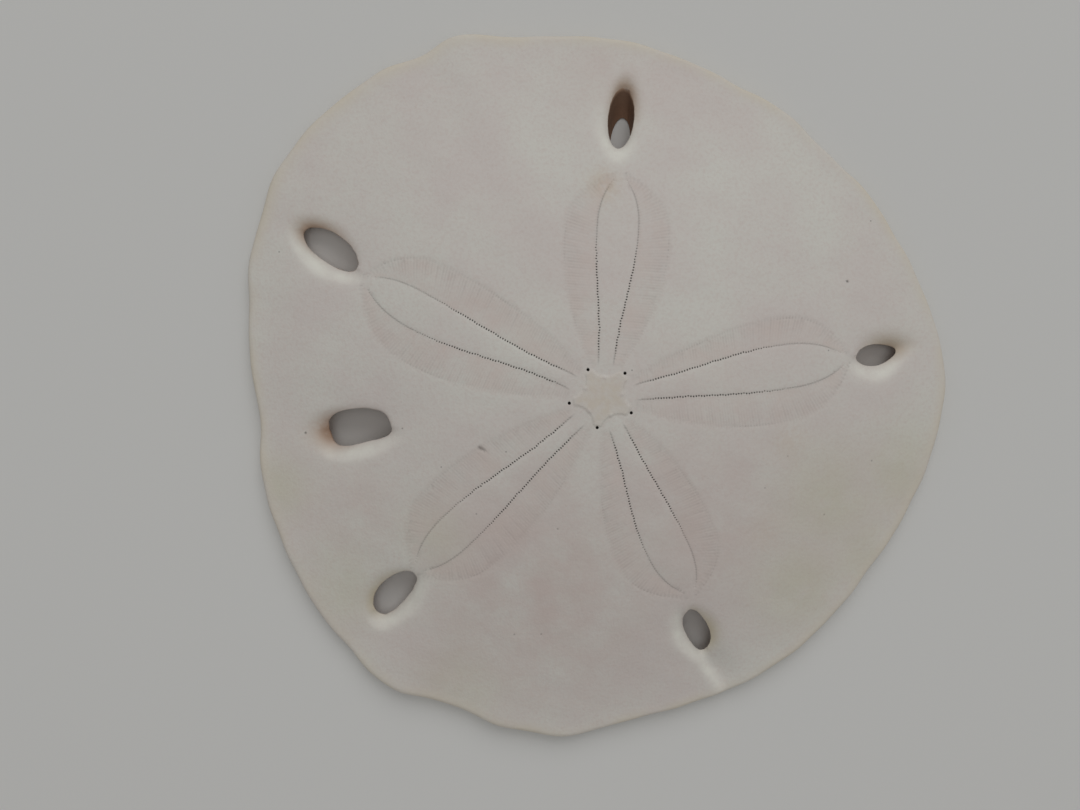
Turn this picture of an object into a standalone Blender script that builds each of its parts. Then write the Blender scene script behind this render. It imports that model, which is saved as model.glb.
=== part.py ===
"""A keyhole sand dollar, dried and cleaned, lying flat on its mouth side.

The shell grew as one piece, so it is one object: a low dome of limestone with
a thin rounded margin and six slots, the lunules, right through it. On top it
carries a flower of five petals, each a raised tongue between two sunken bands
of pores, and a small star with five egg pores in the middle. Underneath it is
flat, with the mouth, the anus and the forked food grooves.

The front of the animal is at +X, its left side at +Y and its upper side at
+Z. Bearings turn from the front towards the left, about the apex.
"""

import itertools
import math

import bmesh
import bpy
from mathutils import Matrix, Vector

MM = 0.001

# The whole shell
MEAN_RADIUS = 65.0 * MM
HEIGHT = 15.0 * MM
EDGE_TOP = 3.0 * MM
DOME_POWER = 1.35
TURNS = 96
APEX = Vector((0.3 * MM, -1.5 * MM, 0.0))

# The margin is wavy: (bearing in degrees, distance from the apex in mm).
# It is drawn in behind each lunule and swells between them.
MARGIN = [
    (0, 64.0), (10, 62.8), (20, 61.6), (30, 61.3), (40, 60.4), (47, 61.3),
    (58, 61.4), (66, 62.2), (74, 63.7), (82, 64.6), (90, 65.4), (97, 67.3),
    (104, 70.0), (109, 69.4), (116, 71.1), (124, 71.6), (132, 72.1),
    (139, 71.8), (144, 70.4), (151, 69.1), (158, 67.1), (165, 65.6),
    (171, 64.4), (176, 63.6), (182, 65.0), (190, 65.7), (200, 66.7),
    (209, 67.8), (216, 68.2), (223, 69.5), (228, 69.2), (232, 67.6),
    (237, 66.4), (245, 67.4), (251, 66.8), (256, 67.0), (261, 65.3),
    (268, 63.6), (276, 62.6), (286, 62.8), (298, 62.3), (308, 61.9),
    (318, 61.4), (328, 62.4), (338, 63.3), (348, 64.5), (354, 64.9),
]

# The lunules. reach: middle of the slot's rim from the apex. turn: how far
# its length is turned out of the line to the apex. length and width in mm.
# power: 2 is an ellipse, more is squarer. taper: wider at its outer end.
# shear and bow: how far it leans and bends. drift and side: how far out and to
# the left its foot lies from its rim, in mm. foot: its size there. apron: how
# far the worn slope runs out past its outer end, in mm.
LUNULES = [
    dict(bearing=-0.7, reach=51.25, turn=2.8, length=8.3, width=4.0, power=1.8,
         taper=-0.20, shear=-0.20, bow=0.1, drift=1.3, side=-0.4, foot=1.05, apron=3.6),
    dict(bearing=77.3, reach=49.7, turn=-1.3, length=11.4, width=4.7, power=2.0,
         taper=0.0, shear=-0.10, bow=0.0, drift=-3.4, side=-0.5, foot=0.76, apron=2.4),
    dict(bearing=143.3, reach=55.65, turn=-4.0, length=12.1, width=5.4, power=2.1,
         taper=0.0, shear=-0.07, bow=0.3, drift=1.3, side=0.2, foot=1.08, apron=2.9),
    dict(bearing=179.4, reach=44.45, turn=3.4, length=12.0, width=6.5, power=3.0,
         taper=0.12, shear=-0.09, bow=0.6, drift=1.3, side=0.6, foot=1.10, apron=3.4),
    dict(bearing=215.8, reach=53.45, turn=0.0, length=11.1, width=5.3, power=2.2,
         taper=0.16, shear=0.24, bow=0.3, drift=1.8, side=0.6, foot=1.10, apron=2.4),
    dict(bearing=283.8, reach=48.05, turn=11.4, length=8.5, width=4.5, power=2.4,
         taper=0.05, shear=-0.59, bow=0.0, drift=2.3, side=0.2, foot=1.12, apron=2.2),
]
SLOT_SIDES = 24
RIM_DROP = 0.8 * MM
APRON_DEPTH = 2.1 * MM
APRON_LIFT = 0.8 * MM

# The petals. tip: its end from the apex in mm. bend: how far its middle
# bows to the animal's left, in mm. girth: how much wider its tongue is than
# the rest of the flower's, in mm each side. veer: how far the outer edges
# of its bands lie to the animal's right, in mm.
PETAL_START = 5.8
PETALS = [
    dict(bearing=-0.5, tip=44.2, bend=0.45, girth=0.62, veer=0.8),
    dict(bearing=76.6, tip=38.2, bend=-0.2, girth=0.2, veer=0.0),
    dict(bearing=145.7, tip=46.3, bend=0.8, girth=-0.22, veer=0.0),
    dict(bearing=215.3, tip=46.1, bend=-0.4, girth=-0.05, veer=0.0),
    dict(bearing=285.8, tip=39.7, bend=-0.6, girth=0.42, veer=0.0),
]
# Half widths in mm along a petal, 0 at its start and 1 at its tip, first of
# the raised tongue between the pore rows and then of the whole petal.
TONGUE = [(0, 1.3), (0.2, 1.65), (0.4, 2.5), (0.55, 3.15), (0.7, 3.5),
          (0.82, 3.4), (0.91, 2.7), (0.97, 1.75), (1.0, 1.15)]
WHOLE = [(0, 3.0), (0.2, 6.2), (0.4, 8.3), (0.55, 9.2), (0.7, 9.4),
         (0.82, 8.8), (0.91, 7.0), (0.98, 4.4), (1.02, 2.2), (1.04, 1.0)]
BAND_DEPTH = 0.6 * MM
BAND_EDGE = 0.12 * MM
STATIONS = [0.0, 0.15, 0.3, 0.42, 0.54, 0.66, 0.76, 0.85, 0.92, 0.97, 1.0]

# The star in the middle. Each petal takes a round bay out of its outline.
BAY_MIDDLE, BAY_RADIUS = 6.9 * MM, 3.3 * MM
BAY_TURNS = [-46, -24, 0, 24, 46]
STAR_RISE = 0.4 * MM

# The egg pores at the tips of its arms: bearing, and distance from the apex in mm
EGG_PORES = [(38.7, 5.64), (110.3, 5.45), (182.1, 5.99), (251.1, 5.50), (321.9, 5.72)]
PORE_RADIUS, PORE_DEPTH = 0.3 * MM, 0.9 * MM

# The underside
MOUTH = dict(reach=1.0, radius=2.6 * MM, depth=2.6 * MM)
ANUS = dict(reach=-33.5, radius=1.5 * MM, depth=1.6 * MM)
GROOVE_HALF = 0.75 * MM
GROOVE_SINK = 0.15 * MM
GROOVE_FORK = 11.0
# A branch of a food groove: distance from the apex in mm, degrees it stands
# off the line of its petal
BRANCH = [(11, 0.6), (14, 4.0), (19, 7.8), (26, 10.4), (35, 11.5),
          (45, 11.0), (53, 9.8), (59, 8.8)]

CALCITE = (0.62, 0.58, 0.52, 1.0)


def between(table, x):
    """Value at x of a table of (place, value), straight from each place to the next."""
    if x <= table[0][0]:
        return table[0][1]
    for (x0, y0), (x1, y1) in zip(table, table[1:]):
        if x <= x1:
            t = (x - x0) / (x1 - x0)
            return y0 + (y1 - y0) * t
    return table[-1][1]


def margin_radius(bearing):
    """Distance of the margin from the apex, smooth all the way round."""
    count = len(MARGIN)
    bearing %= 360
    k = max(i for i in range(count) if MARGIN[i][0] <= bearing)
    spots = [MARGIN[(k + j) % count] for j in (-1, 0, 1, 2)]
    turns = [(k + j) // count * 360 for j in (-1, 0, 1, 2)]
    xs = [spot[0] + turn for spot, turn in zip(spots, turns)]
    ys = [spot[1] for spot in spots]
    span = xs[2] - xs[1]
    t = (bearing - xs[1]) / span
    slope_in = (ys[2] - ys[0]) / (xs[2] - xs[0]) * span
    slope_out = (ys[3] - ys[1]) / (xs[3] - xs[1]) * span
    return MM * (ys[1] * (2 * t**3 - 3 * t**2 + 1) + slope_in * (t**3 - 2 * t**2 + t)
                 + ys[2] * (3 * t**2 - 2 * t**3) + slope_out * (t**3 - t**2))


def stretch(bearing, distance):
    """How much wider than round the shell is there: nothing at the apex, all of it at the margin."""
    share = min(distance / MEAN_RADIUS, 1.0) ** 2
    return 1 + (margin_radius(bearing) / MEAN_RADIUS - 1) * share


def dome_height(x, y):
    """Height of the upper side over a point given from the apex."""
    distance = math.hypot(x, y)
    bearing = math.degrees(math.atan2(y, x))
    share = distance / MEAN_RADIUS
    for _ in range(4):
        share = min(distance / stretch(bearing, share * MEAN_RADIUS) / MEAN_RADIUS, 1.0)
    return EDGE_TOP + (HEIGHT - EDGE_TOP) * (1 - share * share) ** DOME_POWER


def place(bearing, along, across=0.0, height=0.0):
    """A point from the apex, `along` a bearing and `across` to the left of it."""
    turned = Matrix.Rotation(math.radians(bearing), 3, 'Z') @ Vector((along, across, 0))
    return Vector((turned.x, turned.y, height))


def new_object(name, mesh, group):
    item = bpy.data.objects.new(name, mesh)
    item.location = APEX
    group.objects.link(item)
    return item


def from_bmesh(bm, name, group):
    bmesh.ops.recalc_face_normals(bm, faces=bm.faces)
    mesh = bpy.data.meshes.new(name)
    bm.to_mesh(mesh)
    bm.free()
    return new_object(name, mesh, group)


def dome(group):
    """The turned dome, its margin then pulled out to the wavy outline."""
    profile = []
    for share in (0, 0.1, 0.22, 0.34, 0.46, 0.57, 0.67, 0.76, 0.84, 0.91, 0.965):
        height = EDGE_TOP + (HEIGHT - EDGE_TOP) * (1 - share * share) ** DOME_POWER
        profile.append((share * MEAN_RADIUS, height))
    profile += [(64.3 * MM, 2.7 * MM), (65.0 * MM, 1.8 * MM), (64.9 * MM, 1.0 * MM),
                (64.3 * MM, 0.35 * MM), (63.2 * MM, 0.0), (42 * MM, 0.0), (18 * MM, 0.0),
                (0.0, 0.0)]
    mesh = bpy.data.meshes.new("profile")
    edges = [(i, i + 1) for i in range(len(profile) - 1)]
    mesh.from_pydata([(x, 0, z) for x, z in profile], edges, [])
    item = new_object("turned", mesh, group)
    screw = item.modifiers.new("turn", 'SCREW')
    screw.steps = TURNS
    screw.render_steps = TURNS
    screw.use_merge_vertices = True
    screw.merge_threshold = 0.00001
    bpy.context.view_layer.update()
    turned = bpy.data.meshes.new_from_object(item.evaluated_get(bpy.context.evaluated_depsgraph_get()))
    bpy.data.objects.remove(item)
    for vertex in turned.vertices:
        distance = math.hypot(vertex.co.x, vertex.co.y)
        if distance > 0:
            pull = stretch(math.degrees(math.atan2(vertex.co.y, vertex.co.x)), distance)
            vertex.co.x *= pull
            vertex.co.y *= pull
    turned.shade_smooth()
    return new_object("sand_dollar", turned, group)


def slot_outline(slot, height, count):
    """Points round a lunule at a height: as measured at its rim, then drifting out to its foot."""
    points = []
    middle = place(slot['bearing'], slot['reach'] * MM)
    down = 1 - height / (dome_height(middle.x, middle.y) - RIM_DROP)
    size = 1 + (slot['foot'] - 1) * down
    middle += place(slot['bearing'], slot['drift'] * down * MM, slot['side'] * down * MM, height)
    for k in range(count):
        angle = 2 * math.pi * k / count
        lengthwise = math.copysign(abs(math.cos(angle)) ** (2 / slot['power']), math.cos(angle))
        sidewise = math.copysign(abs(math.sin(angle)) ** (2 / slot['power']), math.sin(angle))
        across = slot['width'] / 2 * (1 + slot['taper'] * lengthwise) * sidewise
        along = slot['length'] / 2 * lengthwise + slot['shear'] * across
        across += slot['bow'] * (lengthwise**2 - 0.5)
        points.append(middle + size * MM * place(slot['bearing'] + slot['turn'], along, across))
    return points


def slot_cutters(group):
    """Straight-sided plugs for the six lunules, standing out of both faces."""
    bm = bmesh.new()
    for slot in LUNULES:
        plug = bmesh.ops.create_cone(bm, cap_ends=True, segments=SLOT_SIDES, radius1=1, radius2=1, depth=2)
        lower = slot_outline(slot, -1 * MM, SLOT_SIDES)
        upper = slot_outline(slot, 12 * MM, SLOT_SIDES)
        for vertex in plug['verts']:
            k = round(math.degrees(math.atan2(vertex.co.y, vertex.co.x)) / 360 * SLOT_SIDES) % SLOT_SIDES
            vertex.co = lower[k] if vertex.co.z < 0 else upper[k]
    return from_bmesh(bm, "lunule_cutter", group)


def apron_cutters(group):
    """Ellipsoids that wear down the outer end of each lunule into a slope."""
    bm = bmesh.new()
    for slot in LUNULES:
        half = slot['length'] / 2 * MM
        axis = slot['bearing'] + slot['turn']
        middle = place(slot['bearing'], slot['reach'] * MM)
        low = middle + place(axis, half + slot['apron'] * MM)
        high = middle + place(axis, half * 0.2)
        low.z = dome_height(low.x, low.y)
        high.z = dome_height(high.x, high.y)
        length = (low - high).length
        turn = (low - high).to_track_quat('X', 'Z').to_matrix().to_4x4()
        size = Matrix.Diagonal((length * 0.66, (slot['width'] / 2 + 1.0) * MM, APRON_DEPTH, 1))
        seat = Matrix.Translation((low + high) / 2 + Vector((0, 0, APRON_LIFT)))
        bmesh.ops.create_uvsphere(bm, u_segments=16, v_segments=8, radius=1, matrix=seat @ turn @ size)
    return from_bmesh(bm, "apron_cutter", group)


def petal_cutters(group):
    """A band down either side of the five tongues, deep along the pore row and fading outwards."""
    bm = bmesh.new()
    for petal, side in itertools.product(PETALS, (1, -1)):
        length = petal['tip'] - PETAL_START
        sections = []
        for s in STATIONS:
            bow = petal['bend'] * math.sin(math.pi * s ** 1.4)
            half = between(TONGUE, s) + petal['girth'] * math.sin(math.pi * s ** 0.8)
            swerve = petal['veer'] * math.sin(math.pi * s ** 0.8)
            inner = place(petal['bearing'], (PETAL_START + length * s) * MM, (bow + side * half) * MM)
            reach = s * 1.04 if s > 0.9 else s
            outer = place(petal['bearing'], (PETAL_START + length * reach) * MM,
                          (bow - swerve + side * between(WHOLE, reach)) * MM)
            inner_top = dome_height(inner.x, inner.y)
            outer_top = dome_height(outer.x, outer.y)
            corners = [(inner, inner_top - BAND_DEPTH), (outer, outer_top - BAND_EDGE),
                       (outer, outer_top + 2 * MM), (inner, inner_top + 2 * MM)]
            sections.append([bm.verts.new((p.x, p.y, z)) for p, z in corners])
        for near, far in zip(sections, sections[1:]):
            for i in range(4):
                bm.faces.new((near[i], near[(i + 1) % 4], far[(i + 1) % 4], far[i]))
        bm.faces.new(sections[0])
        bm.faces.new(sections[-1])
    return from_bmesh(bm, "petal_cutter", group)


def star_plate(group):
    """The low star of the sieve plate, with five blunt arms between its bays."""
    bm = bmesh.new()
    ring = []
    for petal in PETALS:
        bay = place(petal['bearing'], BAY_MIDDLE)
        for turn in BAY_TURNS:
            ring.append(bay - place(petal['bearing'] - turn, BAY_RADIUS))
    lower = [bm.verts.new((p.x, p.y, HEIGHT - 2 * MM)) for p in ring]
    upper = [bm.verts.new((p.x * 0.95, p.y * 0.95, HEIGHT + STAR_RISE)) for p in ring]
    bm.faces.new(lower)
    bm.faces.new(upper)
    for k in range(len(ring)):
        after = (k + 1) % len(ring)
        bm.faces.new((lower[k], lower[after], upper[after], upper[k]))
    return from_bmesh(bm, "star_plate", group)


def round_pits(name, pits, group):
    """Short plugs standing in the surface: (middle, radius, bottom, top, sides) of each."""
    bm = bmesh.new()
    for middle, radius, bottom, top, sides in pits:
        centre = Matrix.Translation((middle.x, middle.y, (bottom + top) / 2))
        bmesh.ops.create_cone(bm, cap_ends=True, segments=sides, radius1=radius, radius2=radius,
                              depth=top - bottom, matrix=centre)
    return from_bmesh(bm, name, group)


def groove_cutter(name, lines, group):
    """Four-sided tubes lying half in the underside, one along each line of points."""
    curve = bpy.data.curves.new(name, 'CURVE')
    curve.dimensions = '3D'
    curve.bevel_depth = GROOVE_HALF
    curve.bevel_resolution = 0
    curve.use_fill_caps = True
    for line in lines:
        spline = curve.splines.new('POLY')
        spline.points.add(len(line) - 1)
        for point, spot in zip(spline.points, line):
            point.co = (spot.x, spot.y, -GROOVE_SINK, 1)
    guide = new_object(name + "_line", curve, group)
    bpy.context.view_layer.update()
    mesh = bpy.data.meshes.new_from_object(guide.evaluated_get(bpy.context.evaluated_depsgraph_get()))
    bpy.data.objects.remove(guide)
    bm = bmesh.new()
    bm.from_mesh(mesh)
    bmesh.ops.remove_doubles(bm, verts=bm.verts, dist=0.00001)
    return from_bmesh(bm, name, group)


def calcite():
    material = bpy.data.materials.new("bleached_calcite")
    material.use_nodes = True
    shader = material.node_tree.nodes["Principled BSDF"]
    shader.inputs["Base Color"].default_value = CALCITE
    shader.inputs["Roughness"].default_value = 0.85
    shader.inputs["Metallic"].default_value = 0.0
    return material


def build():
    for item in list(bpy.data.objects):
        bpy.data.objects.remove(item)
    model = bpy.data.collections.new("sand_dollar")
    cutters = bpy.data.collections.new("cutters")
    for group in (model, cutters):
        bpy.context.scene.collection.children.link(group)

    shell = dome(model)
    shell.data.materials.append(calcite())

    pores = []
    for bearing, reach in EGG_PORES:
        pores.append((place(bearing, reach * MM), PORE_RADIUS, HEIGHT - PORE_DEPTH, HEIGHT + 1 * MM, 8))
    mouth = (place(0, MOUTH['reach'] * MM), MOUTH['radius'], -1 * MM, MOUTH['depth'], 20)
    anus = (place(0, ANUS['reach'] * MM), ANUS['radius'], -1 * MM, ANUS['depth'], 12)

    trunks, left_branches, right_branches = [], [], []
    for petal in PETALS:
        trunks.append([place(petal['bearing'], 2.0 * MM), place(petal['bearing'], (GROOVE_FORK + 1.5) * MM)])
        left_branches.append([place(petal['bearing'] + off, reach * MM) for reach, off in BRANCH])
        right_branches.append([place(petal['bearing'] - off, reach * MM) for reach, off in BRANCH])

    steps = [
        ('UNION', star_plate(cutters)),
        ('DIFFERENCE', petal_cutters(cutters)),
        ('DIFFERENCE', apron_cutters(cutters)),
        ('DIFFERENCE', slot_cutters(cutters)),
        ('DIFFERENCE', round_pits("egg_pore_cutter", pores, cutters)),
        ('DIFFERENCE', round_pits("mouth_cutter", [mouth, anus], cutters)),
        ('DIFFERENCE', groove_cutter("trunk_cutter", trunks, cutters)),
        ('DIFFERENCE', groove_cutter("left_branch_cutter", left_branches, cutters)),
        ('DIFFERENCE', groove_cutter("right_branch_cutter", right_branches, cutters)),
    ]
    for operation, tool in steps:
        tool.hide_render = True
        tool.display_type = 'WIRE'
        cut = shell.modifiers.new(tool.name, 'BOOLEAN')
        cut.operation = operation
        cut.object = tool
        cut.solver = 'EXACT'


build()
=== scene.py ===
# %% [markdown]
# # A keyhole sand dollar
# A sand dollar is the chalky shell, or test, of a flat sea urchin. This one has
# been cleaned and bleached, and lies on its mouth side. The whole test grew as
# one piece, so the lesson makes one mesh: an upper side with its petals, star
# and pores, a rounded margin, the walls of six slots, and an underside.
# First the CAD model is loaded. It gives the place and the size of the piece.

# %% Load the frame
import math
import bpy
import numpy as np
from mathutils import Matrix, Vector
from mathutils.geometry import delaunay_2d_cdt


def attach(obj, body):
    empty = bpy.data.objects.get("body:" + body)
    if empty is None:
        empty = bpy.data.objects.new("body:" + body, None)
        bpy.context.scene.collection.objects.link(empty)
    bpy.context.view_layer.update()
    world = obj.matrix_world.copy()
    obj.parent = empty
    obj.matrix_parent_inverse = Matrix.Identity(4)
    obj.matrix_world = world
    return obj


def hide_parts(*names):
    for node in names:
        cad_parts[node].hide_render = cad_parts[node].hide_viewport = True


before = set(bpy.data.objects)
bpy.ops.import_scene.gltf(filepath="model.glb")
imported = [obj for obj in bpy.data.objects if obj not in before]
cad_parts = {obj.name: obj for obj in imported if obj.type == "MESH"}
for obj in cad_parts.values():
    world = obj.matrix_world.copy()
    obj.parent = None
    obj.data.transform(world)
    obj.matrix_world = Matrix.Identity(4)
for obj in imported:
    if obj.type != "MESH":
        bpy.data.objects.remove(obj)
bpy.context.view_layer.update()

# %% [markdown]
# ## Sizes
# All sizes are in millimetres about the apex, the highest point. The front of
# the animal is at +X and its left at +Y, and bearings turn from front to left.
# The margin of a real test is wavy: it is drawn in behind each slot and swells
# between them. A short list of distances holds that wave, and a smooth curve
# runs through it. Three fine ripples keep it from looking drawn with a compass.

# %% The dome and its margin
MM = 0.001
APEX = np.array((0.3, -1.5))
MEAN_RADIUS, HEIGHT, EDGE_TOP, DOME_POWER = 65.0, 15.0, 3.0, 1.35
# Bearing in degrees, and distance from the apex.
MARGIN = [(0, 64.0), (10, 62.8), (20, 61.6), (30, 61.3), (40, 60.4), (47, 61.3), (58, 61.4), (66, 62.2),
          (74, 63.7), (82, 64.6), (90, 65.4), (97, 67.3), (104, 70.0), (109, 69.4), (116, 71.1), (124, 71.6),
          (132, 72.1), (139, 71.8), (144, 70.4), (151, 69.1), (158, 67.1), (165, 65.6), (171, 64.4),
          (176, 63.6), (182, 65.0), (190, 65.7), (200, 66.7), (209, 67.8), (216, 68.2), (223, 69.5),
          (228, 69.2), (232, 67.6), (237, 66.4), (245, 67.4), (251, 66.8), (256, 67.0), (261, 65.3),
          (268, 63.6), (276, 62.6), (286, 62.8), (298, 62.3), (308, 61.9), (318, 61.4), (328, 62.4),
          (338, 63.3), (348, 64.5), (354, 64.9)]


def through(table, at, around=0):
    """A smooth curve through (place, value) pairs, read at `at`. around=360 joins its ends."""
    places, values = np.array(table, float).T
    at = np.asarray(at, float)
    if around:
        at = at % around
        places = np.concatenate((places[-2:] - around, places, places[:2] + around))
        values = np.concatenate((values[-2:], values, values[:2]))
    at = np.clip(at, places[0], places[-1])
    slopes = np.gradient(values, places)
    k = np.clip(np.searchsorted(places, at, side='right') - 1, 0, len(places) - 2)
    span = places[k + 1] - places[k]
    t = (at - places[k]) / span
    return (values[k] * (2 * t**3 - 3 * t**2 + 1) + slopes[k] * span * (t**3 - 2 * t**2 + t)
            + values[k + 1] * (3 * t**2 - 2 * t**3) + slopes[k + 1] * span * (t**3 - t**2))


def margin_radius(bearing):
    turn = np.radians(bearing)
    ripple = 0.10 * np.sin(17 * turn + 1.3) + 0.07 * np.sin(29 * turn + 0.5) + 0.05 * np.sin(47 * turn + 2.0)
    return through(MARGIN, bearing, 360) + ripple


def reach_at(bearing, share):
    """Distance from the apex at a share of the way out: round in the middle, wavy at the margin."""
    return share * MEAN_RADIUS * (1 + (margin_radius(bearing) / MEAN_RADIUS - 1) * share**2)


def share_at(x, y):
    """The share of the way out, 1 at the margin, of points given from the apex."""
    distance = np.hypot(x, y) / MEAN_RADIUS
    wide = margin_radius(np.degrees(np.arctan2(y, x))) / MEAN_RADIUS - 1
    share = distance
    for _ in range(6):
        share = distance / (1 + wide * np.minimum(share, 1)**2)
    return share


def dome(share):
    return EDGE_TOP + (HEIGHT - EDGE_TOP) * (1 - np.minimum(share, 1)**2)**DOME_POWER


def step(low, high, value):
    """0 below low, 1 above high, and eased between."""
    t = np.clip((value - low) / (high - low), 0, 1)
    return t * t * (3 - 2 * t)


def place(bearing, along, across=0.0):
    """Points `along` a bearing from the apex and `across` to the left of it."""
    turn = np.radians(bearing)
    return np.stack((along * np.cos(turn) - across * np.sin(turn),
                     along * np.sin(turn) + across * np.cos(turn)), -1)


def swell(x, y, wavelength, seed):
    """Slow unevenness, about -1 to 1, from a few crossed waves near one wavelength."""
    dice = np.random.default_rng(seed)
    total = 0
    for _ in range(8):
        turn, phase = dice.uniform(0, 2 * math.pi, 2)
        wave = 2 * math.pi / (wavelength * dice.uniform(0.7, 1.5))
        total = total + np.sin(wave * (x * math.cos(turn) + y * math.sin(turn)) + phase)
    return total / 8**0.5


print("margin is", round(float(margin_radius(np.arange(360.0)).mean()), 2), "mm from the apex on average")

# %% [markdown]
# ## Slots
# The six slots, called lunules, began as notches in the young animal's margin
# and closed as it grew. Each is an oval that leans, bends or squares off in its
# own way, so one rule with a few numbers draws them all. Water and sand wear
# the outer end of each into a slope, the apron, which leans a little to one
# side and comes to a point behind the rear slot. One long side of each rim, its
# flank, is rubbed lower, and it is painted whiter as a highlight, as if lit.
# Under the rim the walls lean outward, apart from the front left slot, which
# narrows and leans in. The rule is also read backwards, to find how far a point
# is outside a slot.

# %% The lunules
# In degrees: bearing, turn of the oval from it, lean of the worn end, low for the lowered side, which gets a
# painted
# highlight. In mm: reach of the middle, length, width, bow, drift and side of the foot, apron, dip and flank.
# power squares the oval off, taper and shear skew it, foot scales it at the bottom, brown and dirt colour
# wall and slope.
LUNULES = [
    dict(bearing=-0.7, reach=51.25, turn=2.8, length=8.3, width=4.0, power=1.8, taper=-0.20, shear=-0.20,
         bow=0.1, drift=1.3, side=-0.4, foot=1.05, apron=4.4, lean=28, point=1.2, dip=1.3, low=-110,
         flank=1.1, brown=0.3, dirt=0.5),
    dict(bearing=77.3, reach=49.7, turn=-1.3, length=11.4, width=4.7, power=2.0, taper=0.0, shear=-0.10,
         bow=0.0, drift=-3.4, side=-0.5, foot=0.76, apron=2.4, lean=-15, point=1.2, dip=1.0, low=160,
         flank=0.9, brown=1.0, dirt=0.72),
    dict(bearing=143.3, reach=55.65, turn=-4.0, length=12.1, width=5.4, power=2.1, taper=0.0, shear=-0.07,
         bow=0.3, drift=1.3, side=0.2, foot=1.08, apron=2.9, lean=-25, point=1.2, dip=0.8, low=85, flank=1.5,
         brown=0.4, dirt=0.8),
    dict(bearing=179.4, reach=44.45, turn=3.4, length=12.0, width=6.5, power=3.0, taper=0.12, shear=-0.09,
         bow=0.6, drift=1.3, side=0.6, foot=1.10, apron=5.2, lean=-2, point=2.6, dip=1.6, low=75, flank=1.5,
         brown=0.4, dirt=1.0),
    dict(bearing=215.8, reach=53.45, turn=0.0, length=11.1, width=5.3, power=2.2, taper=0.16, shear=0.24,
         bow=0.3, drift=1.8, side=0.6, foot=1.10, apron=2.6, lean=-45, point=1.0, dip=0.6, low=85, flank=1.6,
         brown=0.4, dirt=0.3),
    dict(bearing=283.8, reach=48.05, turn=11.4, length=8.5, width=4.5, power=2.4, taper=0.05, shear=-0.59,
         bow=0.0, drift=2.3, side=0.2, foot=1.12, apron=2.2, lean=60, point=1.0, dip=0.5, low=-95, flank=1.3,
         brown=0.4, dirt=0.3),
]
FLANK_WIDTH = 2.7
CREASE = dict(slot=5, across=-1.5, depth=1.3, start=5.0, end=17.0)
RIM_POINTS, OUTLINE_READINGS = 96, 721


def slot_middle(slot, down=0.0):
    """The middle of a lunule at its top, down=0, or further down its wall, to down=1 at its foot."""
    return place(slot['bearing'], slot['reach'] + slot['drift'] * down, slot['side'] * down)


def slot_outline(slot, size=1.0, down=0.0):
    """Evenly spaced points round a lunule, its outline scaled by size."""
    turn = np.linspace(0, 2 * math.pi, OUTLINE_READINGS)
    lengthwise = np.sign(np.cos(turn)) * np.abs(np.cos(turn))**(2 / slot['power'])
    sidewise = np.sign(np.sin(turn)) * np.abs(np.sin(turn))**(2 / slot['power'])
    across = slot['width'] / 2 * (1 + slot['taper'] * lengthwise) * sidewise
    along = slot['length'] / 2 * lengthwise + slot['shear'] * across
    across = across + slot['bow'] * (lengthwise**2 - 0.5)
    run = np.concatenate(([0], np.cumsum(np.hypot(np.diff(along), np.diff(across)))))
    even = np.linspace(0, run[-1], RIM_POINTS, endpoint=False)
    ring = place(slot['bearing'] + slot['turn'], np.interp(even, run, along), np.interp(even, run, across))
    return slot_middle(slot, down) + size * ring


def slot_reading(slot, x, y, down=0.0):
    """Of points by a lunule: its size there, 1 on the outline, the mm outside it, and along and across."""
    middle = slot_middle(slot, down)
    axis = math.radians(slot['bearing'] + slot['turn'])
    along = (x - middle[0]) * math.cos(axis) + (y - middle[1]) * math.sin(axis)
    across = (y - middle[1]) * math.cos(axis) - (x - middle[0]) * math.sin(axis)
    lengthwise = along / (slot['length'] / 2)
    for _ in range(3):
        side = across - slot['bow'] * (np.clip(lengthwise, -1.3, 1.3)**2 - 0.5)
        lengthwise = (along - slot['shear'] * side) / (slot['length'] / 2)
    wide = slot['width'] / 2 * (1 + slot['taper'] * np.clip(lengthwise, -1.3, 1.3))
    size = (np.abs(lengthwise)**slot['power'] + np.abs(side / wide)**slot['power'])**(1 / slot['power'])
    outside = np.hypot(along, across) * (1 - 1 / np.maximum(size, 0.05))
    return size, outside, along, across


def slot_sides(slot, along, across):
    """How much points belong to a lunule's outer end, and to its low side with the painted highlight, each
    from 0 to 1.
    """
    turn = np.arctan2(across / slot['width'], along / slot['length'])
    outer = ((1 + np.cos(turn - math.radians(slot['lean']))) / 2)**slot['point']
    low = np.clip(np.cos(turn - math.radians(slot['low'])), 0, 1)**0.8
    return outer, low


print(len(LUNULES), "lunules, the longest", max(slot['length'] for slot in LUNULES), "mm")

# %% [markdown]
# ## Petals
# The flower is where the animal's breathing feet stood. Each petal is a raised
# tongue with a row of round pores down either side, and outside each row lies a
# sunken band, crossed by fine grooves that join every inner pore to a slit at
# the petal's outer edge. All five share one outline, which each stretches to
# its own length, and the paired ones bow a little to the rear.

# %% The petals and the star
PETAL_START = 5.8
PETALS = [
    dict(bearing=-0.5, tip=44.2, bend=0.45, girth=0.62, veer=0.8),
    dict(bearing=76.6, tip=38.2, bend=-0.2, girth=0.2, veer=0.0),
    dict(bearing=145.7, tip=46.3, bend=0.8, girth=-0.22, veer=0.0),
    dict(bearing=215.3, tip=46.1, bend=-0.4, girth=-0.05, veer=0.0),
    dict(bearing=285.8, tip=39.7, bend=-0.6, girth=0.42, veer=0.0),
]
TONGUE = [(0, 1.3), (0.2, 1.65), (0.4, 2.5), (0.55, 3.15), (0.7, 3.5), (0.82, 3.4), (0.91, 2.7),
          (0.97, 1.75), (1.0, 1.15)]
WHOLE = [(0, 3.0), (0.2, 6.2), (0.4, 8.3), (0.55, 9.2), (0.7, 9.4), (0.82, 8.8), (0.91, 7.0), (0.98, 4.4),
         (1.02, 2.2), (1.04, 1.0)]
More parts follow.
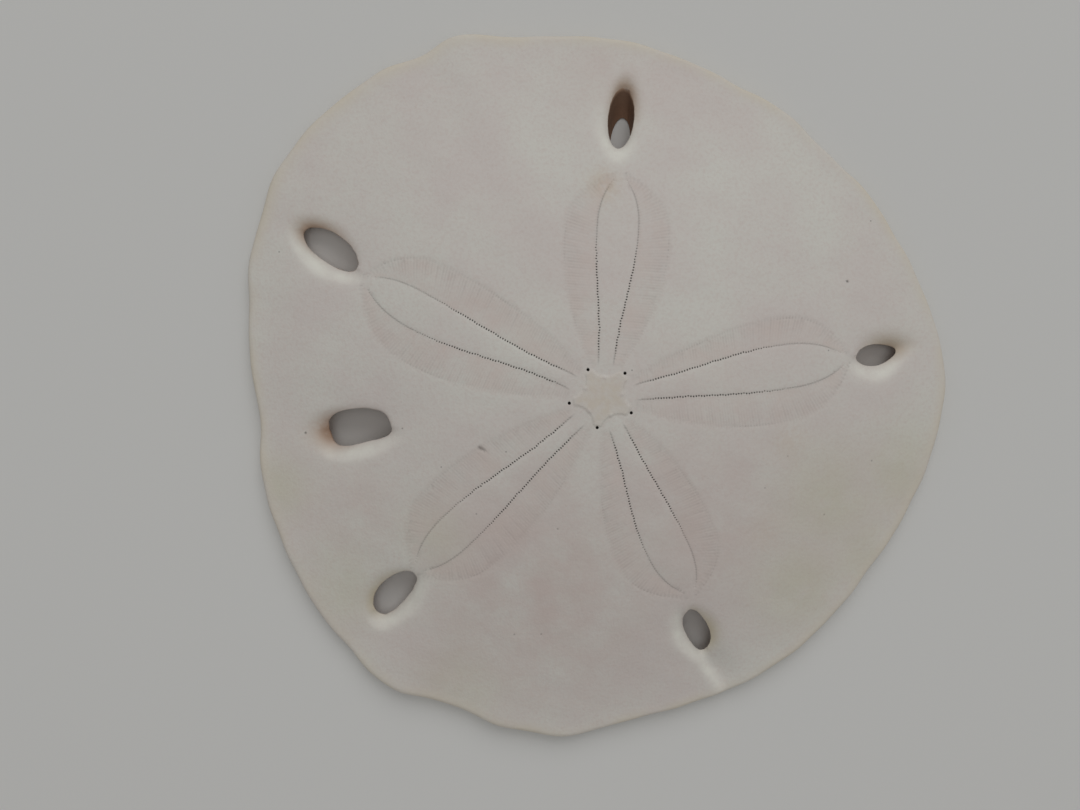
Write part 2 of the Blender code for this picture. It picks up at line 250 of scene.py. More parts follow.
# The real pores are 0.37 to 0.39 mm apart. They are drawn a little coarser, as so fine a row runs
# together into one line at the size of the picture.
PORE_PITCH = 0.48
PORE_STRETCH = 1.3
STAR_TIP, BAY_MIDDLE, BAY_RADIUS = 5.2, 6.9, 3.3
EGG_PORES = [(38.7, 5.64), (110.3, 5.45), (182.1, 5.99), (251.1, 5.50), (321.9, 5.72)]
EGG_PORE_RADIUS = 0.26


def tongue_half(petal, s):
    """From the middle line of a petal to the row of pores down either side of its tongue."""
    return through(TONGUE, s) + petal['girth'] * np.sin(math.pi * np.clip(s, 0, 1)**0.8)


def band_edge(petal, s, side):
    """From the middle line of a petal to the outer edge of its pore band, left for side=1, right for -1."""
    return through(WHOLE, s) - side * petal['veer'] * np.sin(math.pi * np.clip(s, 0, 1)**0.8)


def petal_point(petal, s, across):
    bow = petal['bend'] * np.sin(math.pi * np.clip(s, 0, 1)**1.4)
    return place(petal['bearing'], PETAL_START + (petal['tip'] - PETAL_START) * s, bow + across)


def petal_reading(petal, x, y):
    """Of points: how far along a petal, 0 to 1, and how far across it from its middle line."""
    turn = math.radians(petal['bearing'])
    s = (x * math.cos(turn) + y * math.sin(turn) - PETAL_START) / (petal['tip'] - PETAL_START)
    across = y * math.cos(turn) - x * math.sin(turn) - petal['bend'] * np.sin(math.pi * np.clip(s, 0, 1)**1.4)
    return s, across


def inside_star(x, y):
    """How far points are inside the sieve plate, in mm. Each petal takes a round bay out of its outline."""
    deep = STAR_TIP - np.hypot(x, y)
    for petal in PETALS:
        bay = place(petal['bearing'], BAY_MIDDLE)
        deep = np.minimum(deep, np.hypot(x - bay[0], y - bay[1]) - BAY_RADIUS)
    return deep


print("petals", [petal['tip'] for petal in PETALS], "mm from the apex to their tips")

# %% [markdown]
# ## The upper side as a height map
# The relief is low everywhere, so the upper side can be one height for each
# point of the plan: the dome, then the tongues and bands, the star, the aprons
# of the lunules, and a slow unevenness, as grown things have. The same readings
# give marks from 0 to 1 for what differs in colour, which the material uses.

# %% Height and marks of the upper side
# Of these marks, the one for the low flanks is a painted highlight. row, slit and pore are mostly painted
# shade in pits, grooves and holes, and pore also darkens real specks of dirt.
MARKS = ("stain", "worn", "wall", "pore", "slit", "row", "band", "star", "edge", "algae", "rosy", "tan")
# In mm: the tongues' rise, the bands' fall, the rise of the star and of the bumps in its notches.
CROWN, TROUGH, STAR_RISE, BUMP_RISE = 0.09, 0.07, 0.20, 0.16
# Soft spots of another colour: bearing, reach, radius and amount of each.
SPOTS = {
    "algae": [(-33, 47, 10, 0.4), (-24, 59, 9, 0.4), (-52, 52, 9, 0.4), (-40, 59, 9, 0.35), (188, 63, 6, 0.4),
              (209, 61, 8, 0.3), (236, 62, 7, 0.3), (212, 40, 6, 0.25)],
    "rosy": [(245, 38, 22, 1.0), (-60, 30, 15, 0.8), (197, 50, 10, 0.6), (80, 58, 9, 0.5), (-5, 18, 12, 0.3)],
    "tan": [(-23, 35, 3, 0.2), (81.2, 37.0, 2.6, 0.5), (-49, 39, 3, 0.15)],
}
# The chip is a wedge, broad where it was struck: its two ends, and how deep it is.
CHIP, CHIP_DEPTH = ((-22.9, -5.9), (-21.7, -6.6)), 0.25
# Specks of dirt that lie where they were found: bearing, reach, radius, and how dark they are.
SPECKS = [(15.9, 49.1, 0.24, 0.9), (179.2, 54.9, 0.24, 0.8), (243.2, 25.1, 0.16, 0.5),
          (247.8, 45.9, 0.18, 0.5), (242.0, 47.5, 0.17, 0.5), (337.4, 51.7, 0.20, 0.4),
          (323.0, 47.0, 0.18, 0.4), (333.2, 35.4, 0.15, 0.4), (215.0, 31.0, 0.17, 0.5),
          (321.8, 34.0, 0.15, 0.4)]


def upper_side(x, y):
    share = share_at(x, y)
    z = dome(share) + 0.10 * swell(x, y, 26, 1) * step(0.05, 0.3, share) + 0.025 * swell(x, y, 6, 2)
    marks = {name: np.zeros_like(x) for name in MARKS}
    for petal in PETALS:
        s, across = petal_reading(petal, x, y)
        inner, outer = tongue_half(petal, s), band_edge(petal, s, np.sign(across))
        off = np.abs(across) - inner
        ends = step(-0.03, 0.10, s) * (1 - step(0.94, 1.04, s))
        crown = CROWN * np.clip(1 - (np.abs(across) / inner)**2.2, 0, 1)
        trough = -TROUGH * np.where(off > 0, np.exp(-off / 2.0), np.exp(off / 0.25))
        whole = step(0.5, -0.5, np.abs(across) - outer) * step(-0.04, 0.04, s) * (1 - step(0.99, 1.05, s))
        z += np.where(np.abs(across) < outer + 0.5, crown + trough - 0.04 * whole, 0) * ends
        soft = step(0.9, -1.3, np.abs(across) - outer) * step(-0.04, 0.04, s) * (1 - step(0.97, 1.06, s))
        marks['band'] = np.maximum(marks['band'], soft * step(-0.1, 0.3, off))
        # The row line is painted shade along each row of pores.
        line = np.exp(-(off / 0.12)**2) * step(-0.01, 0.02, s) * (1 - step(0.93, 1.0, s))
        line *= 1 - 0.9 * step(0.06, 0.14, s) * (1 - step(0.55, 0.8, s))
        marks['row'] = np.maximum(marks['row'], line)
    deep = inside_star(x, y)
    z += STAR_RISE * step(-0.14, 0.18, deep)
    marks['star'] = step(-0.6, 1.2, deep)
    for petal in PETALS:
        notch = place(petal['bearing'], BAY_MIDDLE - BAY_RADIUS - 0.1)
        bump = np.exp(-((x - notch[0])**2 + (y - notch[1])**2) / 0.32**2)
        z += BUMP_RISE * bump
        marks['star'] = marks['star'] * (1 - bump)
    for number, slot in enumerate(LUNULES):
        outside, along, across = slot_reading(slot, x, y)[1:]
        outside = np.maximum(outside, 0)
        outer, low = slot_sides(slot, along, across)
        width = 0.9 + slot['apron'] * outer**1.5
        z -= (0.15 + slot['dip'] * outer**2) * np.clip(1 - outside / width, 0, 1)**2
        z -= slot['flank'] * low * np.clip(1 - outside / FLANK_WIDTH, 0, 1)**1.25
        z -= 0.2 * np.exp(-outside / 1.2) + 0.2 * np.exp(-(outside / 5.0)**2)
        stain = (0.08 + 0.92 * outer**2) * np.exp(-(outside / (0.5 * width))**1.7)
        marks['stain'] = np.maximum(marks['stain'], stain * slot['dirt'])
        marks['wall'] = np.maximum(marks['wall'], 0.3 * step(0.45, 0.9, stain * slot['dirt']))
        marks['algae'] = np.maximum(marks['algae'], stain * (1 - slot['dirt']))
        # Painted highlight: the low flank of each slot is made whiter, as its lit side.
        highlight_falloff = np.exp(-(np.maximum(outside - 1.2, 0) / 1.6)**2) * (0.5 + 0.5 * step(0.0, 1.2, outside))
        marks['worn'] = np.maximum(marks['worn'], low * highlight_falloff)
        if number == CREASE['slot']:
            off = across - CREASE['across']
            hollow = np.exp(-(off / np.where(off < 0, 1.3, 3.2))**2)
            run = step(CREASE['start'] - 3, CREASE['start'] + 3, along)
            run *= 1 - step(0.5, 1.0, along / CREASE['end'])
            z -= CREASE['depth'] * hollow * run
            # Painted highlight along the lit side of the crease.
            marks['worn'] = np.maximum(marks['worn'], 0.8 * run * np.exp(-((off + 1.2) / 0.9)**2))
    (ax, ay), (bx, by) = CHIP
    t = np.clip(((x - ax) * (bx - ax) + (y - ay) * (by - ay)) / ((bx - ax)**2 + (by - ay)**2), 0, 1)
    broad = 0.30 - 0.18 * t
    chip = np.exp(-((x - ax - t * (bx - ax))**2 + (y - ay - t * (by - ay))**2) / broad**2)
    z -= CHIP_DEPTH * chip
    # The chip is also drawn darker.
    marks['row'] = np.maximum(marks['row'], 1.8 * chip)
    marks['edge'] = step(0.955, 1.0, share)
    for name, spots in SPOTS.items():
        for bearing, reach, radius, amount in spots:
            spot = place(bearing, reach)
            patch = amount * np.exp(-((x - spot[0])**2 + (y - spot[1])**2) / radius**2)
            marks[name] = np.maximum(marks[name], patch)
    return z, marks


sample_z = upper_side(np.array([0.0, 30.0]), np.array([0.0, 30.0]))[0]
print("height at the apex and two thirds of the way out:", sample_z.round(2))

# %% [markdown]
# ## Points for the upper side
# A triangle mesh can be fine only where it must be, so the points are chosen
# for each feature and the triangles follow. A displaced grid as fine as the
# pores would need millions of faces. A small class keeps the points, each with
# how far it lies off the height map and how dark it is.

# %% A store of points
class Points:
    """Points of the plan, each with how far it lies off the height map, and how much pore and slit it is."""

    def __init__(self):
        self.lists = [], [], [], []

    def add(self, xy, off=0.0, pore=0.0, slit=0.0):
        xy = np.asarray(xy, float).reshape(-1, 2)
        self.lists[0].append(xy)
        for kept, value in zip(self.lists[1:], (off, pore, slit)):
            kept.append(np.broadcast_to(value, len(xy)).astype(float))

    def all(self):
        return [np.concatenate(kept) for kept in self.lists]


def even_run(path, spacing):
    """Places, as numbers of path's own steps, that lie evenly along a line of points."""
    run = np.concatenate(([0], np.cumsum(np.hypot(*np.diff(path, axis=0).T))))
    return np.interp(np.arange(0, run[-1], spacing), run, np.arange(len(path)))


def read_path(path, at):
    return np.stack([np.interp(at, np.arange(len(path)), path[:, i]) for i in (0, 1)], -1)


upper = Points()
print("a run of 2 mm holds", len(even_run(np.array([[0.0, 0.0], [2.0, 0.0]]), PORE_PITCH)), "pores")

# %% [markdown]
# ## Pores and grooves
# The pores of a petal's inner row are about 0.2 mm wide and stand shoulder to
# shoulder. Each gets a ring of six points, longer across the row, round a deep
# one. They are largest near the star and fade to a fine line at the tip. From
# each a groove crosses the band to a slit at its outer edge: a line of low
# points between lines of high ones. Its depth varies, as wear differs. Pores,
# grooves and slits are also painted darker, as painted shade in them.

# %% Pores and grooves of the petals
dice = np.random.default_rng(7)
pore_count = 0
HEXAGON = np.radians(np.arange(0, 360, 60))
# The two lines of a band are read at this many places. Its outer edge ends beyond the row of pores.
ROW_READINGS, EDGE_READINGS, EDGE_END = 400, 416, 1.04
# In mm: the distance between points along a groove, and where the first and the last may be.
GROOVE_STEP, GROOVE_START, GROOVE_STOP = 0.62, 0.58, 0.5
for petal in PETALS:
    for side in (1, -1):
        s = np.linspace(0, 1, ROW_READINGS)
        row = petal_point(petal, s, side * tongue_half(petal, s))
        reach = np.linspace(0, EDGE_END, EDGE_READINGS)
        edge = petal_point(petal, reach, side * (band_edge(petal, reach, side) - 0.1))
        at = even_run(row, PORE_PITCH / 2)
        inner = read_path(row, at)
        # Half way out the grooves begin to lean towards the tip, and round it they fan out.
        s_at = at / (ROW_READINGS - 1)
        lean = 0.065 * step(0.45, 0.88, s_at)
        outer = read_path(edge, np.minimum(s_at + lean, EDGE_END) / EDGE_END * (EDGE_READINGS - 1))
        away = outer - inner
        span = np.hypot(*away.T)
        away /= span[:, None]
        wander = 0.05 * np.sin(at * 0.13 + side) + 0.04 * np.sin(at * 0.31 + petal['tip'])
        slits = 0.5 + 0.5 * np.sin(at * 0.035 + dice.uniform(0, 6))
        for k, s_k in enumerate(s_at):
            strength = step(0.0, 0.11, s_k) * (1 - 0.85 * step(0.5, 0.85, s_k))
            groove = k % 2 == 0
            if groove and strength > 0.05:
                pore_count += 1
                spot = inner[k] + away[k] * (wander[k] + dice.normal(0, 0.04))
                radius = 0.065 + 0.025 * strength * dice.uniform(0.7, 1.3)
                beside = np.array((-away[k][1], away[k][0]))
                ring = spot + radius * (PORE_STRETCH * np.outer(np.cos(HEXAGON), away[k])
                                        + np.outer(np.sin(HEXAGON), beside))
                # The ring and the deep point get pore darkness, and the groove points slit darkness: painted
                # shade in the pits and grooves.
                upper.add(ring, -0.02, 0.52 * strength)
                upper.add(spot, -0.08 - 0.22 * strength, 0.2 + 0.8 * strength)
                upper.add(inner[k] - away[k] * 0.33)
                upper.add(inner[k] + away[k] * 0.33, -0.02, 0.0, 0.08)
            else:
                upper.add([inner[k] - away[k] * 0.24, inner[k], inner[k] + away[k] * 0.24], [0.0, 0.04, 0.02])
            if span[k] > 0.8:
                steps = np.arange(GROOVE_START, span[k] - GROOVE_STOP, GROOVE_STEP)
                deepening = 0.3 + 0.7 * step(0.2, 0.9, steps / span[k])
                cut = deepening * dice.uniform(0.3, 1.3) if groove else 0.0
                upper.add(inner[k] + away[k] * steps[:, None], -0.05 * cut, 0.0, 0.12 * cut)
                if groove:
                    slit = step(0.05, 0.3, s_k) * dice.uniform(0.3, 1.0) * (0.15 + 0.85 * slits[k]**2)
                    upper.add(outer[k] - away[k] * np.array([[0.42], [0.0]]), -0.03, 0.0, 0.08)
                    upper.add(outer[k] - away[k] * 0.21, -0.04 - 0.1 * slit, 0.0, 0.05 + 0.25 * slit)
                else:
                    upper.add(outer[k] - away[k] * np.array([[0.3], [0.0]]), 0.0)
print(pore_count, "inner pores,", len(upper.all()[0]), "points in the petals")

# %% [markdown]
# ## Egg pores and specks
# Five egg pores open between the petals, just beyond the tips of the star. They
# are round holes with a crisp rim, so four rings of points lead down to a floor
# painted black, as painted shade for the depth of the hole. The larger specks of
# dirt that a washed test keeps lie where they were found, each a hexagon of points
# that is only darker, hardly deeper.

# %% Egg pores and specks
# The rings of an egg pore: share of its radius, height off the map in mm, darkness of the painted shade and
# number of points.
EGG_RINGS = [(1.25, 0.0, 0.0, 12), (1.0, -0.04, 0.6, 12), (0.85, -0.5, 1.0, 10), (0.5, -0.95, 1.0, 6)]
for arm, reach in EGG_PORES:
    spot = place(arm, reach)
    for size, off, dark, count in EGG_RINGS:
        ring = np.linspace(0, 2 * math.pi, count, endpoint=False)
        upper.add(spot + EGG_PORE_RADIUS * size * np.stack((np.cos(ring), np.sin(ring)), -1), off, dark)
    upper.add(spot, -1.0, 1.0)
for bearing, reach, radius, dark in SPECKS:
    spot = place(bearing, reach)
    upper.add(spot + radius * np.stack((np.cos(HEXAGON), np.sin(HEXAGON)), -1), 0.0, 0.28 + 0.10 * dark)
    upper.add(spot, -0.03, 0.28 + 0.27 * dark)
print(len(EGG_PORES), "egg pores and", len(SPECKS), "specks")

# %% [markdown]
# ## The filling grid
# The grid that fills the rest is three hexagonal grids of different pitch, each
# kept only where its fineness is wanted, and shaken a little so that no rows of
# triangles catch the light. Points too close to the rings, the slots' rims or
# the bands are dropped, because the finer points there already hold the shape.
# A small chip by the right rear petal gets the finest pitch as well.

# %% The filling grid and the rims
RIM_SHARE = 0.984
MARGIN_POINTS = 720
# In mm: the pitch of each grid, from the plain parts to the middle, and how far all of them reach.
PITCHES, GRID_REACH = (0.9, 0.48, 0.23), 74


def hexagonal(pitch, seed):
    rows = np.arange(-GRID_REACH, GRID_REACH, pitch * 0.866)
    columns = np.arange(-GRID_REACH, GRID_REACH, pitch)
    x, y = np.meshgrid(columns, rows)
    x = x + np.where(np.arange(len(rows)) % 2, pitch / 2, 0)[:, None]
    shake = np.random.default_rng(seed).uniform(-0.16, 0.16, (2,) + x.shape) * pitch
    return np.stack((x + shake[0], y + shake[1]), -1).reshape(-1, 2)


def near_chip(x, y):
    middle = np.mean(CHIP, axis=0)
    return np.hypot(x - middle[0], y - middle[1]) < 1.4


def fineness(x, y):
    """0 on the plain parts, 1 by slots and petals, 2 in the middle; -1 where there are points already."""
    level = np.zeros(len(x), int)
    taken = share_at(x, y) > RIM_SHARE - 0.007
    for petal in PETALS:
        s, across = petal_reading(petal, x, y)
        half, edge = tongue_half(petal, s), band_edge(petal, s, np.sign(across))
        level[(np.abs(across) - edge < 1.0) & (s > -0.05) & (s < 1.07)] = 1
        off = np.abs(across) - half
        taken |= (off > -0.5) & (off < edge - half + 0.25) & (s > -0.012) & (s < 1.045)
    for slot in LUNULES:
        outside = slot_reading(slot, x, y)[1]
        level[outside < 5.0] = 1
        taken |= outside < 0.55
    level[np.hypot(x, y) < 6.9] = 2
    level[near_chip(x, y)] = 2
    for arm, reach in EGG_PORES:
        spot = place(arm, reach)
        taken |= np.hypot(x - spot[0], y - spot[1]) < EGG_PORE_RADIUS * 1.5
    for bearing, reach, radius, _ in SPECKS:
        spot = place(bearing, reach)
        taken |= np.hypot(x - spot[0], y - spot[1]) < radius * 2
    level[taken] = -1
    return level


for wanted, pitch in enumerate(PITCHES):
    grid = hexagonal(pitch, 20 + wanted)
    if wanted == 2:
        grid = grid[(np.hypot(*grid.T) < 8) | near_chip(*grid.T)]
    kept = grid[fineness(*grid.T) == wanted]
    upper.add(kept)
    print("pitch", pitch, "mm:", len(kept), "points")

bearings = np.arange(MARGIN_POINTS) * 360 / MARGIN_POINTS
margin_ring = place(bearings, reach_at(bearings, np.full(MARGIN_POINTS, RIM_SHARE)))
for slot in LUNULES:
    for outward in (1.05, 1.11):
        upper.add(slot_outline(slot, outward))

# %% [markdown]
# ## Triangles
# Delaunay triangulation joins points of a plan into the fattest triangles they
# allow, and keeps the given edges, here the margin's ring and the slots' rims.
# It fills the slots too, so their triangles are thrown away afterwards.

# %% Triangulate a side
def triangulate(points, rings, down=0.0):
    """Triangles of a plan inside its outer ring and outside the others. Rings come first in the points."""
    edges, start = [], 0
    for ring in rings:
        edges += [(start + k, start + (k + 1) % len(ring)) for k in range(len(ring))]
        start += len(ring)
    made = delaunay_2d_cdt([Vector(p) for p in points.tolist()], edges, [], 0, 1e-6, True)
    whence = np.array([min(origins) if origins else -1 for origins in made[3]])
    if (whence < 0).any():
        raise RuntimeError("two rings cross")
    corners = whence[np.array(made[2])]
    middles = points[corners].mean(axis=1)
    on_rings = (corners < start).all(axis=1)
    outside = on_rings & (share_at(*middles.T) > RIM_SHARE - 0.0004)
    for slot, ring in zip(LUNULES, rings[1:]):
        centre = ring.mean(axis=0)
        size = 1 + (slot['foot'] - 1) * down
        near = on_rings & (np.hypot(*(middles - centre).T) < slot['length'])
        within = slot_reading(slot, *middles.T, down)[0] < size * 1.02
        outside |= near & within
    corners = corners[~outside]
    a, b, c = points[corners[:, 0]], points[corners[:, 1]], points[corners[:, 2]]
    area = (b[:, 0] - a[:, 0]) * (c[:, 1] - a[:, 1]) - (b[:, 1] - a[:, 1]) * (c[:, 0] - a[:, 0])
    corners[area < 0] = corners[area < 0][:, ::-1]
    return corners[np.abs(area) > 1e-9]


upper_rings = [margin_ring] + [slot_outline(slot) for slot in LUNULES]
free, *extras = upper.all()
upper_xy = np.concatenate(upper_rings + [free])
plain = np.zeros(len(upper_xy) - len(free))
off, pore, slit = [np.concatenate((plain, extra)) for extra in extras]
upper_faces = triangulate(upper_xy, upper_rings)
upper_z, upper_marks = upper_side(*upper_xy.T)
upper_z = upper_z + off
upper_marks.update(pore=pore, slit=slit)
print("upper side:", len(upper_xy), "points,", len(upper_faces), "triangles")

# %% [markdown]
# ## The underside
# The mouth side is flat. The mouth is a round hole in the middle, and the anus
# a small one in front of the rear slot. From the mouth five food grooves run
# out, and each forks to pass on both sides of its slot. They show only when the
# test is picked up, but they are what people look for there. Lines of points
# across each groove carry its section.

# %% Grooves, mouth and anus
MOUTH, MOUTH_RADIUS, MOUTH_DEPTH = np.array((1.0, 0.0)), 2.45, 2.3
ANUS, ANUS_RADIUS, ANUS_DEPTH = np.array((-33.5, 0.0)), 1.35, 1.4
# The rings of points round the mouth and the anus, as shares of the radius.
PIT_RINGS = (1.1, 1.0, 0.92, 0.84, 0.6, 0.3)
GROOVE_WIDTH, GROOVE_DEPTH, GROOVE_PITCH = 0.62, 0.42, 0.6
# How far the lines of points lie to either side of a groove and of a twig.
GROOVE_SECTION, TWIG_SECTION = (-0.7, -0.35, 0.0, 0.35, 0.7), (-0.35, 0.0, 0.35)
# A fork of a groove: reach from the apex, and degrees it has turned away from the trunk.
BRANCH = [(11, 0.6), (14, 4.0), (19, 7.8), (26, 10.4), (35, 11.5), (45, 11.0), (53, 9.8), (59, 8.8)]
# The twigs on a fork: where each starts, its length, and how much it leans outward.
TWIGS = [(33, 7, 0.24), (42, 6, 0.30), (50, 5, 0.34)]
TRUNK_POINTS, FORK_POINTS, TWIG_POINTS = 24, 110, 14
UNDERSIDE_PITCH, CELL = 1.15, 0.28


def groove_lines():
    lines = []
    for petal in PETALS:
        trunk = np.linspace(2.9, 11.2, TRUNK_POINTS)
        lines.append(place(np.full(TRUNK_POINTS, petal['bearing']), trunk))
        for side in (1, -1):
            reach = np.linspace(11, 60, FORK_POINTS)
            off = through(BRANCH, reach) + 0.25 * np.sin(reach * 0.7 + petal['bearing'])
            lines.append(place(petal['bearing'] + side * off, reach))
            for start, length, lean in TWIGS:
                twig = np.linspace(start, start + length, TWIG_POINTS)
                base = through(BRANCH, twig) + np.degrees(lean * (twig - start) / twig)
                lines.append(place(petal['bearing'] + side * base, twig))
    return lines


GROOVES = groove_lines()


def lower_side(x, y):
    share = share_at(x, y)
    z = 0.30 * (1 - step(0.15, 0.93, share)) + 0.03 * (1 + swell(x, y, 9, 5)) * (1 - step(0.9, 0.96, share))
    marks = {name: np.zeros_like(x) for name in MARKS}
    away = np.full(len(x), 9.0)
    for line in GROOVES:
        thin = 0.6 if len(line) == TWIG_POINTS else 1.0
        for part in np.array_split(np.arange(len(x)), max(1, len(x) // 6000)):
            gap = np.hypot(x[part, None] - line[None, :, 0], y[part, None] - line[None, :, 1]).min(axis=1)
            away[part] = np.minimum(away[part], gap / thin)
    groove = np.exp(-(away / (GROOVE_WIDTH * 0.75))**2)
    z += GROOVE_DEPTH * groove
    # The grooves are painted darker, as painted shade in them.
    marks['row'] = 0.45 * groove
    # The mouth and the anus are painted dark inside, as painted shade in the holes.
    for spot, radius, depth in ((MOUTH, MOUTH_RADIUS, MOUTH_DEPTH), (ANUS, ANUS_RADIUS, ANUS_DEPTH)):
        inside = step(radius + 0.05, radius - 0.5, np.hypot(x - spot[0], y - spot[1]))
        z += depth * inside
        marks['pore'] = np.maximum(marks['pore'], 0.8 * inside)
        rim = step(radius + 0.9, radius, np.hypot(x - spot[0], y - spot[1]))
        marks['stain'] = np.maximum(marks['stain'], 0.5 * rim)
    for slot in LUNULES:
        outside = slot_reading(slot, x, y, 1.0)[1]
        outside = np.maximum(outside - (slot['foot'] - 1) * slot['length'] / 2, 0)
        marks['stain'] = np.maximum(marks['stain'], 0.5 * np.exp(-outside / 0.8))
    marks['edge'] = step(0.95, 1.0, share)
    return np.maximum(z, 0), marks


lower = Points()
for line in GROOVES:
    at = even_run(line, GROOVE_PITCH)
    spots = read_path(line, at)
    ahead = read_path(line, np.minimum(at + 0.5, len(line) - 1)) - read_path(line, np.maximum(at - 0.5, 0))
    ahead /= np.hypot(*ahead.T)[:, None]
    sideways = np.stack((-ahead[:, 1], ahead[:, 0]), -1)
    for across in (TWIG_SECTION if len(line) == TWIG_POINTS else GROOVE_SECTION):
        lower.add(spots + sideways * across)
# Grid points beside a cell of the plan that holds a groove's point are left out.
cells = {(round(px / CELL), round(py / CELL)) for px, py in lower.all()[0].tolist()}
for spot, radius in ((MOUTH, MOUTH_RADIUS), (ANUS, ANUS_RADIUS)):
    for size in PIT_RINGS:
        ring = np.linspace(0, 2 * math.pi, max(8, round(radius * size * 12)), endpoint=False)
        lower.add(spot + radius * size * np.stack((np.cos(ring), np.sin(ring)), -1))
grid = hexagonal(UNDERSIDE_PITCH, 31)
clear = share_at(*grid.T) < RIM_SHARE - 0.01
clear &= (np.hypot(*(grid - MOUTH).T) > 3.0) & (np.hypot(*(grid - ANUS).T) > 1.8)
for slot in LUNULES:
    clear &= slot_reading(slot, *grid.T, 1.0)[0] > slot['foot'] + 0.18
near = np.array([any((round(px / CELL) + i, round(py / CELL) + j) in cells
                     for i in (-2, 0, 2) for j in (-2, 0, 2)) for px, py in grid.tolist()])
lower.add(grid[clear & ~near])

lower_free = lower.all()[0]
distance_ok = share_at(*lower_free.T) < RIM_SHARE - 0.005
for slot in LUNULES:
    distance_ok &= slot_reading(slot, *lower_free.T, 1.0)[0] > slot['foot'] + 0.08
lower_free = lower_free[distance_ok]
lower_rings = [margin_ring] + [slot_outline(slot, slot['foot'], 1.0) for slot in LUNULES]
lower_xy = np.concatenate(lower_rings + [lower_free])
lower_faces = triangulate(lower_xy, lower_rings, 1.0)[:, ::-1]
lower_z, lower_marks = lower_side(*lower_xy.T)
print("underside:", len(lower_xy), "points,", len(lower_faces), "triangles,", len(GROOVES), "groove lines")

# %% [markdown]
# ## Margin and slot walls
# The two sides meet at the margin and down the slots. Both joins are rings of
# points, each joined to the next with strips of triangles. The margin follows
# half an oval from top to bottom. A slot's wall leans evenly from its rim to its
# foot, with a slight unevenness. The front left slot's wall leans in and can be
# seen from above, and shade is painted on it, darkest just under the rim.

# %% Sew the two sides together
# How dark the painted shade is under the front left slot's rim.
RIM_SHADE_DARKNESS = 1.7
# The rings of the margin, in degrees above its widest line, and the share of its height at that line.
MARGIN_TURNS, WIDEST = (66, 48, 30, 12, -6, -26, -46, -68), 0.46
# The rings of a slot's wall, as shares of the way down. They are closest under the rim.
WALL_DOWNS = (0.015, 0.05, 0.12, 0.24, 0.38, 0.52, 0.66, 0.80, 0.91, 0.97)
xyz =[np.column_stack((upper_xy, upper_z)), np.column_stack((lower_xy, lower_z))]
marks = {name: [upper_marks[name], lower_marks[name]] for name in MARKS}
faces = [upper_faces, lower_faces + len(upper_xy)]
total = len(upper_xy) + len(lower_xy)


def sew(ring_above, ring_below):
    """Two triangles for each step round a pair of rings of point numbers."""
    next_above, next_below = np.roll(ring_above, -1), np.roll(ring_below, -1)
    return np.concatenate((np.column_stack((ring_above, ring_below, next_below)),
                           np.column_stack((ring_above, next_below, next_above))))


def add_ring(points, values):
    """Adds one ring of points with its marks, and gives the numbers of its points."""
    global total
    xyz.append(points)
    for name in MARKS:
        marks[name].append(np.broadcast_to(values.get(name, 0.0), len(points)).astype(float))
    numbers = np.arange(total, total + len(points))
    total += len(points)
    return numbers


above = np.arange(MARGIN_POINTS)
top_z = upper_z[:MARGIN_POINTS]
for turn in MARGIN_TURNS:
    out = RIM_SHARE + (1 - RIM_SHARE) * math.cos(math.radians(turn))**0.8
    ring = place(bearings, reach_at(bearings, np.full(MARGIN_POINTS, out)))
    middle = top_z * WIDEST
    lift = math.sin(math.radians(turn))
    high = middle + (top_z - middle) * lift if turn > 0 else middle * (1 + lift)
    below = add_ring(np.column_stack((ring, high)), {'edge': 1.0})
    faces.append(sew(above, below))
    above = below
faces.append(sew(above, len(upper_xy) + np.arange(MARGIN_POINTS)))

for number, slot in enumerate(LUNULES):
    first = MARGIN_POINTS + number * RIM_POINTS
    above = np.arange(first, first + RIM_POINTS)
    top_z = upper_z[above]
    for down in WALL_DOWNS:
        pinch = 0.02 * math.sin(math.pi * min(1, down / 0.7)) * slot['brown']
        size = 1 + (slot['foot'] - 1) * down - pinch
        ring = slot_outline(slot, size, down)
        grain = 0.012 * swell(ring[:, 0] * 6, ring[:, 1] * 6 + down * 30, 9, 11)
        ring = ring + (ring - slot_middle(slot, down)) * grain[:, None]
        outer = slot_sides(slot, *slot_reading(slot, *slot_outline(slot).T)[2:])[0]
        soiled = np.maximum(slot['brown'], outer**2)
        under_rim = step(0.0, 0.12, down)
        # Painted shade: the front left slot's wall darkens most just under its rim and fades downward.
        rim_shade = RIM_SHADE_DARKNESS * step(0.5, 1.0, slot['brown']) * under_rim * (1 - down)
        below = add_ring(np.column_stack((ring, top_z * (1 - down))),
                         {'stain': 0.6 + 0.4 * soiled, 'wall': (0.1 + 0.9 * slot['brown']) * under_rim,
                          'row': rim_shade})
        faces.append(sew(above, below)[:, ::-1])
        above = below
    start = len(upper_xy) + first
    faces.append(sew(above, np.arange(start, start + RIM_POINTS))[:, ::-1])

all_xyz = np.concatenate(xyz)
all_faces = np.concatenate(faces)
all_xyz[:, :2] += APEX
print("whole test:", len(all_xyz), "points,", len(all_faces), "triangles")

# %% [markdown]
# ## The mesh
# The points and triangles become one closed mesh, which stands in for the CAD
# solid and rides on the same body. Each mark becomes an attribute of its
# points, so the colour follows the shape without any picture. Smooth shading
# suits it, as the rings at rims and margin are close enough to keep them crisp.

# %% Make the mesh
mesh = bpy.data.meshes.new("sand_dollar_test")
mesh.from_pydata((all_xyz * MM).tolist(), [], all_faces.tolist())
mesh.shade_smooth()
for name in MARKS:
    layer = mesh.attributes.new(name, 'FLOAT', 'POINT')
    layer.data.foreach_set('value', np.concatenate(marks[name]).astype(np.float32))
test = bpy.data.objects.new("sand_dollar_test", mesh)
bpy.context.scene.collection.objects.link(test)
mesh.validate()
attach(test, "root")
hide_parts("sand_dollar")
print("mesh has", len(mesh.polygons), "faces")

